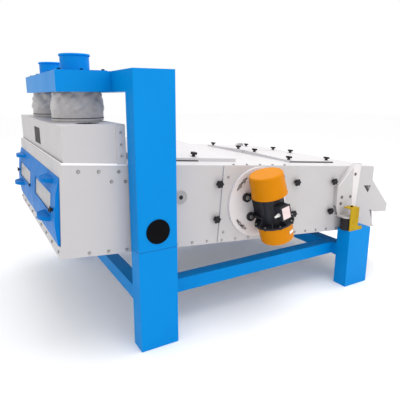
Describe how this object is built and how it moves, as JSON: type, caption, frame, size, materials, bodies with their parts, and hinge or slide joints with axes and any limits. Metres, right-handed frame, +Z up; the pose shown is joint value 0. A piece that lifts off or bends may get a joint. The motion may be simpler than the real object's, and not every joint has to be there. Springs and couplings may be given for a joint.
{
  "type": "vibrating seed cleaner",
  "caption": "Inclined two-deck vibrating screen for cleaning seed and grain, on a blue frame with rubber springs, feed spouts over an inlet hood, swing-angle vibration motors and an end chute.",
  "frame": {"origin": "bottom centre of the overall box, on the floor", "axes": "+X from the inlet doors to the discharge chute, +Y to the side away from the picture's camera, +Z up"},
  "size_m": [3.0279, 2.344, 1.86],
  "materials": {
    "blue_paint": "gloss",
    "white_paint": "satin",
    "orange_paint": "satin",
    "yellow_paint": "satin",
    "zinc": "satin",
    "steel": "satin",
    "wood": "matt",
    "black_rubber": "matt",
    "ball_rubber": "matt",
    "black_plastic": "matt",
    "cloth": "woven",
    "clear_pane": "clear",
    "cast_black": "painted"
  },
  "bodies": {
    "frame": {"inlet_leg_near": "blue_paint", "inlet_leg_far": "blue_paint", "discharge_leg_near": "blue_paint", "discharge_leg_far": "blue_paint", "portal_post_near": "blue_paint", "portal_post_far": "blue_paint", "inlet_spout_near": "blue_paint", "inlet_spout_far": "blue_paint", "feed_sleeve_near": "cloth", "feed_sleeve_far": "cloth", "cross_beams": "blue_paint", "side_rails": "blue_paint", "portal_beam": "blue_paint", "spout_platform": "blue_paint", "port_caps": "black_plastic", "transport_brackets": "yellow_paint", "frame_bolts": "zinc", "inlet_rubber_springs": "black_rubber", "discharge_rubber_springs": "black_rubber"},
    "door_near": {"door_near": "blue_paint", "window_near": "clear_pane"},
    "latch_near": {"door_latch_near": "black_plastic"},
    "drive_near": {"motor_disc_near": "white_paint", "motor_housing_near": "cast_black", "motor_caps_near": "orange_paint", "motor_terminal_box_near": "black_plastic", "motor_foot_bolts_near": "steel"},
    "rotor_near": {"motor_rotor_near": "steel"},
    "door_far": {"door_far": "blue_paint", "window_far": "clear_pane"},
    "latch_far": {"door_latch_far": "black_plastic"},
    "drive_far": {"motor_disc_far": "white_paint", "motor_housing_far": "cast_black", "motor_caps_far": "orange_paint", "motor_terminal_box_far": "black_plastic", "motor_foot_bolts_far": "steel"},
    "rotor_far": {"motor_rotor_far": "steel"},
    "sieve_box": {"body_bolts": "zinc", "bottom_pan": "white_paint", "discharge_end_wall": "white_paint", "discharge_lids": "white_paint", "discharge_spring_brackets": "white_paint", "feed_hood": "white_paint", "feed_tray": "steel", "fines_outlet": "white_paint", "front_panel": "white_paint", "inlet_lids": "white_paint", "inlet_spring_brackets": "white_paint", "lower_sieve_frames": "wood", "lower_sieve_meshes": "steel", "motor_plates": "white_paint", "overs_chute": "white_paint", "rubber_balls": "ball_rubber", "side_plate_far": "white_paint", "side_plate_near": "white_paint", "sleeve_clamps": "steel", "star_knobs": "black_plastic", "top_frame": "white_paint", "upper_sieve_frames": "wood", "upper_sieve_meshes": "steel"}
  },
  "joints": [
    {"name": "box_throw", "type": "slide", "parent": "frame", "child": "sieve_box", "axis": [0.9659, 0, 0.2588], "range_m": [-0.004, 0.004], "stiffness_N_per_m": 400000, "springref_m": 0.00825, "deforming": ["inlet_rubber_springs", "discharge_rubber_springs", "feed_sleeve_near", "feed_sleeve_far"]},
    {"name": "door_hinge_near", "type": "hinge", "parent": "sieve_box", "child": "door_near", "pos_m": [-1.40959, -0.415, 1.15], "axis": [0, 1, 0], "range_deg": [0, 90]},
    {"name": "latch_turn_near", "type": "hinge", "parent": "door_near", "child": "latch_near", "pos_m": [-1.44998, -0.765, 0.96], "axis": [1, 0, 0], "range_deg": [0, 90]},
    {"name": "throw_angle_near", "type": "hinge", "parent": "sieve_box", "child": "drive_near", "pos_m": [-0.023, -0.85, 0.843], "axis": [0, 1, 0], "range_deg": [-8, 8]},
    {"name": "rotor_spin_near", "type": "hinge", "parent": "drive_near", "child": "rotor_near", "pos_m": [-0.023, -1.0153, 0.843], "axis": [-0.2588, 0, 0.9659], "continuous": true},
    {"name": "door_hinge_far", "type": "hinge", "parent": "sieve_box", "child": "door_far", "pos_m": [-1.40959, 0.415, 1.15], "axis": [0, 1, 0], "range_deg": [0, 90]},
    {"name": "latch_turn_far", "type": "hinge", "parent": "door_far", "child": "latch_far", "pos_m": [-1.44998, 0.765, 0.96], "axis": [1, 0, 0], "range_deg": [0, 90]},
    {"name": "throw_angle_far", "type": "hinge", "parent": "sieve_box", "child": "drive_far", "pos_m": [-0.023, 0.85, 0.843], "axis": [0, 1, 0], "range_deg": [-8, 8]},
    {"name": "rotor_spin_far", "type": "hinge", "parent": "drive_far", "child": "rotor_far", "pos_m": [-0.023, 1.0153, 0.843], "axis": [-0.2588, 0, 0.9659], "continuous": true}
  ],
  "couplings": [
    {"joint": "rotor_spin_far", "follows": "rotor_spin_near", "ratio": -1}
  ]
}
